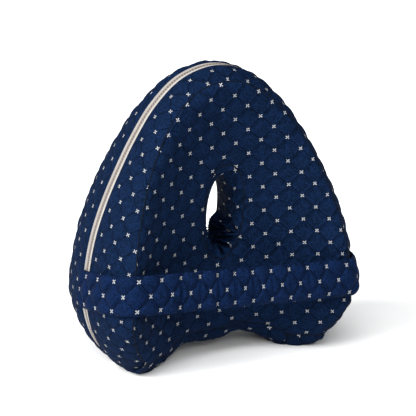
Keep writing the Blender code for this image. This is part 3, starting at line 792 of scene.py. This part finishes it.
# %% Gathers and thickness
MIDDLE_MARKS = np.array((
    -0.1064, -0.0852, -0.0665, -0.0504, -0.0328, -0.0183, -0.0017, 0.0147, 0.0320, 0.0487, 0.0668, 0.0846,
))
CREASE_DEPTHS = np.array((0.2, 0.3, 1.0, 0.6, 0.9, 0.75, 0.7, 0.45, 0.45, 0.65, 0.2))
SIDE_PERIOD, STRAP_DIAMOND_HEIGHT = 0.0205, 0.0238
CREASE_DEPTH, CREASE_HALF, STRAP_PUFF = 0.0032, 0.10, 0.0017
RIPPLE_DEPTH, RIPPLE_LENGTH, RIPPLE_WANDER = 0.00035, 0.0058, 90
MIDDLE_GAP, MARKS_BESIDE = 0.0212, 6
END_CLOSING = 0.004

middle_x = path[STRAP_ROWS // 2, :, 0]
on_front = slice(STRAP_SIDE_COLUMNS + 1, STRAP_SIDE_COLUMNS + STRAP_FRONT_COLUMNS)
front_run = np.interp(MIDDLE_MARKS, middle_x[on_front], strap_run[on_front])
front_run[0] = front_run[1] - MIDDLE_GAP
before = front_run[0] - SIDE_PERIOD * np.arange(MARKS_BESIDE, 0, -1)
after = front_run[-1] + SIDE_PERIOD * np.arange(1, MARKS_BESIDE + 1)
mark_run = np.concatenate((before, front_run, after))
strap_count = np.interp(strap_run, mark_run, np.arange(len(mark_run)) - float(MARKS_BESIDE))
strap_quilt = diamonds(strap_count + 0 * strap_up, strap_up + 0 * strap_count, (1.0, STRAP_DIAMOND_HEIGHT))
crease_at = np.arange(len(CREASE_DEPTHS)) + 0.5
crease_ends = np.concatenate(((-0.5,), crease_at, (11.5,)))
crease = np.interp(strap_count, crease_ends, np.concatenate(((0,), CREASE_DEPTHS, (0,))))
narrow = np.exp(-((np.abs(strap_count - np.floor(strap_count) - 0.5)) / CREASE_HALF) ** 2)
gathered = np.clip(np.minimum(strap_count - 1.2, 10.5 - strap_count), 0, 1)
wander = 2 * np.sin(strap_run * RIPPLE_WANDER)
ripple = RIPPLE_DEPTH * gathered * np.sin(strap_run * 2 * np.pi / RIPPLE_LENGTH + wander)
# thickness: the hem, plus a body that swells as sqrt(1 - (height / half height)^4), plus the puffs,
# less a bell-shaped crease halfway between two crosses, plus a fine ripple along the hems
body = np.sqrt(np.clip(1 - (strap_up / STRAP_HALF_HEIGHT) ** 4, 0, 1))
thick = STRAP_HEM + (STRAP_THICK - STRAP_PUFF - STRAP_HEM) * body
thick = thick + STRAP_PUFF * puffs(strap_quilt, 2.0) * body
thick = thick - CREASE_DEPTH * crease * narrow * (0.45 + 0.55 * body) + ripple * (1 - 0.7 * body)
closing = np.clip(np.minimum(strap_run, strap_run[-1] - strap_run) / END_CLOSING, 0, 1) ** 0.5
# both faces of the tube meet at its edges and close at its ends
rounded = np.cos(section)[:, None] ** 0.4
hem_middle = 0.5 * STRAP_HEM
outer = STRAP_CLEAR + hem_middle + (thick - hem_middle) * rounded * closing
inner = STRAP_CLEAR + hem_middle - hem_middle * rounded * closing

along = np.gradient(path, axis=1)
out = np.stack((along[..., 1], -along[..., 0], np.zeros(along.shape[:2])), axis=-1)
out /= np.linalg.norm(out, axis=-1, keepdims=True)
path[..., 2] += ripple * 1.2 * np.sign(strap_up) * (1 - body)
band = np.concatenate((path + out * outer[..., None], (path + out * inner[..., None])[::-1][1:-1]))
band[..., 1] += MIDDLE_Y
print("strap band", band.shape, "from", band.reshape(-1, 3).min(axis=0).round(4))

# %% [markdown]
# ## The strap's cloth and its closed ends
#
# The same jersey is painted a shade lighter on the strap: painted light, as the strap stands out of the
# hollow and catches more light than the faces. The band is open at both ends when it is made, so its ends
# are filled and its normals worked out again.

# %% Strap
STRAP_LOOKS = dict(JERSEY_LOOKS, **{"Sheen Weight": 0.010})
# painted light: the jersey's colours made a little lighter on the strap
strap_cloth_painted_lighter = quilted_cloth("navy_quilted_elastic_band", "#020b1a", "#0b1d3f", "#c6c8ca", STRAP_LOOKS)
strap_uv_rows = np.concatenate((strap_quilt, strap_quilt[::-1][1:-1]))
faces = quads(*band.shape[:2], close_columns=False)
wrapped = np.concatenate((strap_uv_rows, strap_uv_rows[:1]))
four = [wrapped[:-1, :-1], wrapped[:-1, 1:], wrapped[1:, 1:], wrapped[1:, :-1]]
uv = np.stack(four, axis=2).reshape(-1, 4, 2)
strap = add_surface("strap_band", band.reshape(-1, 3), faces, uv, strap_cloth_painted_lighter)
solid = bmesh.new()
solid.from_mesh(strap.data)
bmesh.ops.remove_doubles(solid, verts=solid.verts, dist=2e-6)
bmesh.ops.holes_fill(solid, edges=[edge for edge in solid.edges if edge.is_boundary])
bmesh.ops.recalc_face_normals(solid, faces=solid.faces)
print("open edges on the strap:", sum(edge.is_boundary for edge in solid.edges))
print("the strap holds", round(solid.calc_volume() * 1e6, 2), "cm3")
solid.to_mesh(strap.data)
solid.free()
strap.data.shade_smooth()
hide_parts("strap")


# %% [markdown]
# ## The zip
#
# A closed coil zip runs round the middle of the side panel. Two woven tapes are sewn into the channel and
# the nylon coil lies between them. Each is a small profile carried round the zip's line. The coil's loops
# are 1.3 mm apart on a real zip of this size. They are made 2.6 mm apart here, so that they show.

# %% Zip
TAPE_OUTER, TAPE_INNER = 0.0058, 0.0019
TAPE_TOP, TAPE_UNDER = 0.0006, 0.0019
COIL_HALF, COIL_TOP, COIL_UNDER, COIL_PITCH = 0.0018, 0.0002, 0.0019, 0.0026
ZIP_COLUMNS = 1500


def zip_band(name, across, depth, count, material, node):
    """A closed profile carried round the zip's line: across the panel, and depth inwards from it."""
    run = np.arange(count) * RING_LENGTH / count
    ring = ring_at(run)
    x = ring[:, 0] + ring[:, 2] * depth
    z = ring[:, 1] + ring[:, 3] * depth
    points = settle(np.stack((x, across + 0 * depth, z), axis=-1))
    rows = len(across)
    u, v = run / COIL_PITCH + 0 * depth, across + 0 * depth
    u = np.concatenate((u, u[:1]))
    v = np.concatenate((v, v[:1]))
    u, v = np.hstack((u, u[:, -1:] + RING_LENGTH / count / COIL_PITCH)), np.hstack((v, v[:, :1]))
    four = [(a[:-1, :-1], a[:-1, 1:], a[1:, 1:], a[1:, :-1]) for a in (u, v / TAPE_OUTER)]
    uv = np.stack([np.stack(part, axis=2).reshape(-1, 4) for part in four], axis=-1)
    faces = quads(rows, count)
    piece = add_surface(name, points.reshape(-1, 3), faces, uv, material)
    shell = bmesh.new()
    shell.from_mesh(piece.data)
    bmesh.ops.recalc_face_normals(shell, faces=shell.faces)
    print(name, "holds", round(shell.calc_volume() * 1e6, 2), "cm3")
    shell.to_mesh(piece.data)
    shell.free()
    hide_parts(node)
    return piece


def woven_tape(name, pale, shade):
    """Woven polyester tape: pale, a little silky, with fine ribs along it and threads across it."""
    looks = {"Roughness": 0.75, "Specular IOR Level": 0.3, "Sheen Weight": 0.1}
    material, tree, shader = new_material(name, looks)
    place = add(tree, "TexCoord")
    part = add(tree, "SeparateXYZ", (place.outputs["UV"],))
    across = add(tree, "Math", (part.outputs[1], RIB_TURNS), operation="MULTIPLY")
    ribs = add(tree, "Math", (across,), operation="SINE")
    along = add(tree, "Math", (part.outputs[0], THREAD_TURNS), operation="MULTIPLY")
    threads = add(tree, "Math", (along,), operation="SINE")
    ribbed = add(tree, "Math", (ribs, 0.3, 0.5), operation="MULTIPLY_ADD")
    weave = add(tree, "Math", (ribbed, threads), operation="ADD")
    soiled = add(tree, "TexNoise", {"Vector": place.outputs["Object"], "Scale": SOIL_SCALE, "Detail": 3.0})
    tone = add(tree, "Math", (ribs, 0.25, soiled), operation="MULTIPLY_ADD", use_clamp=True)
    mixed = add(tree, "Mix", {0: tone, 6: colour(shade), 7: colour(pale)}, data_type="RGBA")
    tree.links.new(mixed.outputs[2], shader.inputs["Base Color"])
    bump = add(tree, "Bump", {"Height": weave, "Distance": TAPE_RELIEF, "Strength": 0.5})
    tree.links.new(bump.outputs[0], shader.inputs["Normal"])
    return material


TAPE_COLUMNS = ZIP_COLUMNS // 3
# the ribs and threads are drawn coarser than on a real tape, so that they show
RIB_TURNS, THREAD_TURNS = 34.0, 12.6
SOIL_SCALE, TAPE_RELIEF = 90.0, 0.0002

tape_profile = np.array((
    # across from the middle of the zip, depth under the panel
    (TAPE_INNER, 0.0010), (0.0026, 0.0007), (0.0036, TAPE_TOP), (0.0048, TAPE_TOP), (0.0056, 0.0008),
    (TAPE_OUTER, 0.0012), (TAPE_OUTER, TAPE_UNDER), (0.0040, TAPE_UNDER), (TAPE_INNER, TAPE_UNDER),
))
tape_across, tape_depth = tape_profile[:, :1], tape_profile[:, 1:] + np.zeros(TAPE_COLUMNS)
front_tape = woven_tape("woven_polyester_tape_front", "#a5a19b", "#8c8781")
# painted shade: the back tape is the same tape with darker colours
back_tape_painted_darker = woven_tape("woven_polyester_tape_back_painted_darker", "#948f8a", "#7a7570")
zip_band("zip_front_tape", -tape_across, tape_depth, TAPE_COLUMNS, front_tape, "zip_tape_front")
zip_band("zip_back_tape", tape_across, tape_depth, TAPE_COLUMNS, back_tape_painted_darker, "zip_tape_back")

# %% [markdown]
# ## The coil
#
# The teeth are one nylon thread, moulded and wound to a coil. Nylon is smooth; each loop's crown is painted
# lighter and the gap between loops darker, a painted highlight and painted shade. The loops are a ripple on
# a closed band, with the front half a little ahead.

# %% Coil
NYLON_LOOKS = {"Roughness": 0.42, "IOR": 1.53, "Specular IOR Level": 0.4}
nylon, tree, shader = new_material("moulded_nylon_coil", NYLON_LOOKS)
place = add(tree, "TexCoord")
turned = add(tree, "SeparateXYZ", (place.outputs["UV"],))
# painted highlight on each loop's crown and painted shade between the loops
angle = add(tree, "Math", (turned.outputs[0], 2 * np.pi), operation="MULTIPLY")
loops = add(tree, "Math", (angle,), operation="COSINE")
tone = add(tree, "Math", (loops, 0.35, 0.5), operation="MULTIPLY_ADD")
tan = add(tree, "Mix", {0: tone, 6: colour("#453d38"), 7: colour("#6f665f")}, data_type="RGBA")
tree.links.new(tan.outputs[2], shader.inputs["Base Color"])

COIL_SIDES, LOOP_DEPTH, LOOP_LEAD = 12, 0.0005, 2.2
coil_angle = np.linspace(0, 2 * np.pi, COIL_SIDES, endpoint=False)[:, None]
coil_across = COIL_HALF * np.cos(coil_angle)
loop_run = np.arange(ZIP_COLUMNS) * RING_LENGTH / ZIP_COLUMNS
loops_high = 0.5 + 0.5 * np.cos(2 * np.pi * loop_run / COIL_PITCH + LOOP_LEAD * np.cos(coil_angle))
coil_top = COIL_TOP + LOOP_DEPTH * (1 - loops_high)
coil_depth = COIL_UNDER - (COIL_UNDER - coil_top) * np.clip(np.sin(coil_angle), 0, 1) ** 0.7
zip_band("zip_coil_loops", coil_across, coil_depth, ZIP_COLUMNS, nylon, "zip_coil")
